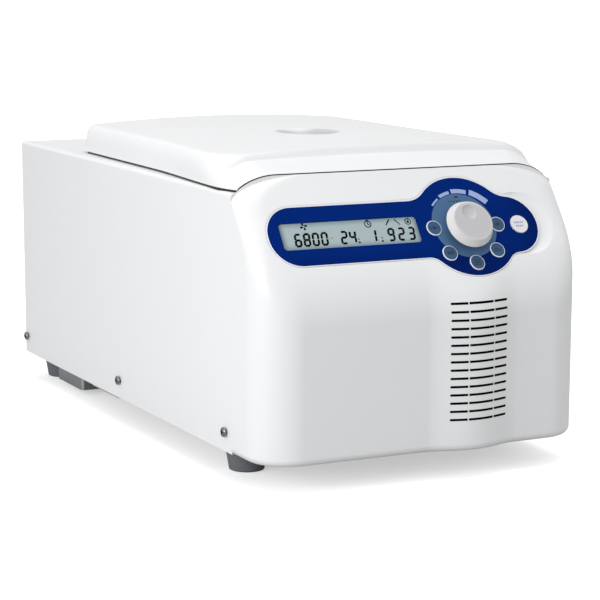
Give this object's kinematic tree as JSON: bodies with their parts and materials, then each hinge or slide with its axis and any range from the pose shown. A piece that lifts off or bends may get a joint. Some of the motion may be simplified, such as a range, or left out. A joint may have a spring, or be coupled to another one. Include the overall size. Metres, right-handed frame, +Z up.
{
  "type": "refrigerated microcentrifuge",
  "caption": "Refrigerated bench microcentrifuge with a crowned rear-hinged lid, sloping control panel with display, dial and keys, vent column, and a cooled rotor chamber.",
  "frame": {"origin": "on the bench, under the middle of the whole object", "axes": "+Z up, front panel towards -Y, hinge line along X at the rear, +X to the right seen from the front"},
  "size_m": [0.2842, 0.5376, 0.2501],
  "materials": {
    "white_paint": "satin",
    "white_plastic": "satin",
    "grey_plastic": "satin",
    "light_grey_plastic": "satin",
    "blue_film": "satin",
    "slate_key": "satin",
    "white_key": "satin",
    "display": "matt, lit from behind",
    "display_lens": "polished",
    "sight_glass": "polished",
    "foot_rubber": "matt",
    "dark_rubber": "matt",
    "black_plastic": "satin",
    "steel": "brushed",
    "zinc_steel": "zinc plated",
    "chrome": "polished",
    "aluminium": "bead blasted, anodised",
    "copper": "drawn tube",
    "circuit_board": "solder mask",
    "foam": "open-cell foam",
    "insulation": "rigid foam",
    "black_paint": "semi-gloss"
  },
  "bodies": {
    "cabinet": {"cabinet_cover": "white_paint", "base_pan": "zinc_steel", "side_screw_left_1": "chrome", "side_screw_left_2": "chrome", "side_screw_left_3": "chrome", "side_screw_right_1": "chrome", "side_screw_right_2": "chrome", "side_screw_right_3": "chrome", "foot_front_left": "foot_rubber", "foot_rear_left": "foot_rubber", "foot_front_right": "foot_rubber", "foot_rear_right": "foot_rubber", "drain_tray": "zinc_steel", "condensate_duct": "grey_plastic", "front_housing": "white_plastic", "control_film": "blue_film", "display_lens": "display_lens", "display_module": "display", "dial_encoder": "zinc_steel", "control_board": "circuit_board", "intake_filter": "foam", "chamber_deck": "grey_plastic", "rotor_bowl": "steel", "chamber_insulation": "insulation", "chamber_gasket": "dark_rubber", "drive_motor": "zinc_steel", "motor_plate": "steel", "motor_damper": "dark_rubber", "lid_lock": "black_plastic", "hinge_bracket_left": "steel", "hinge_bracket_right": "steel", "compressor": "black_paint", "fan_frame": "black_plastic", "condenser": "aluminium", "suction_line": "copper", "discharge_line": "copper", "power_board": "circuit_board", "rear_panel": "white_paint", "exhaust_hood": "grey_plastic", "mains_inlet": "black_plastic", "power_switch": "black_plastic"},
    "lid": {"lid_shell": "white_plastic", "sight_window": "sight_glass", "lid_liner": "light_grey_plastic", "lid_hook": "steel", "hinge_pin_left": "chrome", "hinge_pin_right": "chrome"},
    "rotor_assembly": {"rotor": "aluminium", "drive_shaft": "steel", "rotor_nut": "black_plastic"},
    "knob": {"dial_knob": "light_grey_plastic"},
    "start_key": {"start_stop_key": "white_key"},
    "rocker": {"power_rocker": "black_plastic"},
    "fan": {"condenser_fan": "black_plastic"},
    "bolt": {"lock_bolt": "steel"},
    "key_1": {"ring_key_1": "slate_key"},
    "key_2": {"ring_key_2": "slate_key"},
    "key_3": {"ring_key_3": "slate_key"},
    "key_4": {"ring_key_4": "slate_key"},
    "key_5": {"ring_key_5": "slate_key"}
  },
  "joints": [
    {"name": "lid_hinge", "type": "hinge", "parent": "cabinet", "child": "lid", "pos_m": [0, 0.1519, 0.2255], "axis": [-1, 0, 0], "range_deg": [0, 78]},
    {"name": "rotor_spin", "type": "hinge", "parent": "cabinet", "child": "rotor_assembly", "pos_m": [0, -0.05, 0.17], "axis": [0, 0, 1], "continuous": true},
    {"name": "knob_turn", "type": "hinge", "parent": "cabinet", "child": "knob", "pos_m": [0.044, -0.23919, 0.19319], "axis": [0, -0.8192, 0.5736], "continuous": true},
    {"name": "key_1_press", "type": "slide", "parent": "cabinet", "child": "key_1", "axis": [0, 0.8192, -0.5736], "range_m": [0, 0.0007], "stiffness_N_per_m": 600, "springref_m": -0.0012},
    {"name": "key_2_press", "type": "slide", "parent": "cabinet", "child": "key_2", "axis": [0, 0.8192, -0.5736], "range_m": [0, 0.0007], "stiffness_N_per_m": 600, "springref_m": -0.0012},
    {"name": "key_3_press", "type": "slide", "parent": "cabinet", "child": "key_3", "axis": [0, 0.8192, -0.5736], "range_m": [0, 0.0007], "stiffness_N_per_m": 600, "springref_m": -0.0012},
    {"name": "key_4_press", "type": "slide", "parent": "cabinet", "child": "key_4", "axis": [0, 0.8192, -0.5736], "range_m": [0, 0.0007], "stiffness_N_per_m": 600, "springref_m": -0.0012},
    {"name": "key_5_press", "type": "slide", "parent": "cabinet", "child": "key_5", "axis": [0, 0.8192, -0.5736], "range_m": [0, 0.0007], "stiffness_N_per_m": 600, "springref_m": -0.0012},
    {"name": "start_key_press", "type": "slide", "parent": "cabinet", "child": "start_key", "axis": [0, 0.8192, -0.5736], "range_m": [0, 0.0007], "stiffness_N_per_m": 600, "springref_m": -0.0012},
    {"name": "power_rocker_tilt", "type": "hinge", "parent": "cabinet", "child": "rocker", "pos_m": [-0.098, 0.26, 0.0985], "axis": [1, 0, 0], "range_deg": [-18, 0]},
    {"name": "fan_spin", "type": "hinge", "parent": "cabinet", "child": "fan", "pos_m": [0.062, 0.2428, 0.118], "axis": [0, 1, 0], "continuous": true},
    {"name": "lock_bolt_slide", "type": "slide", "parent": "cabinet", "child": "bolt", "axis": [0, 1, 0], "range_m": [0, 0.007]}
  ]
}
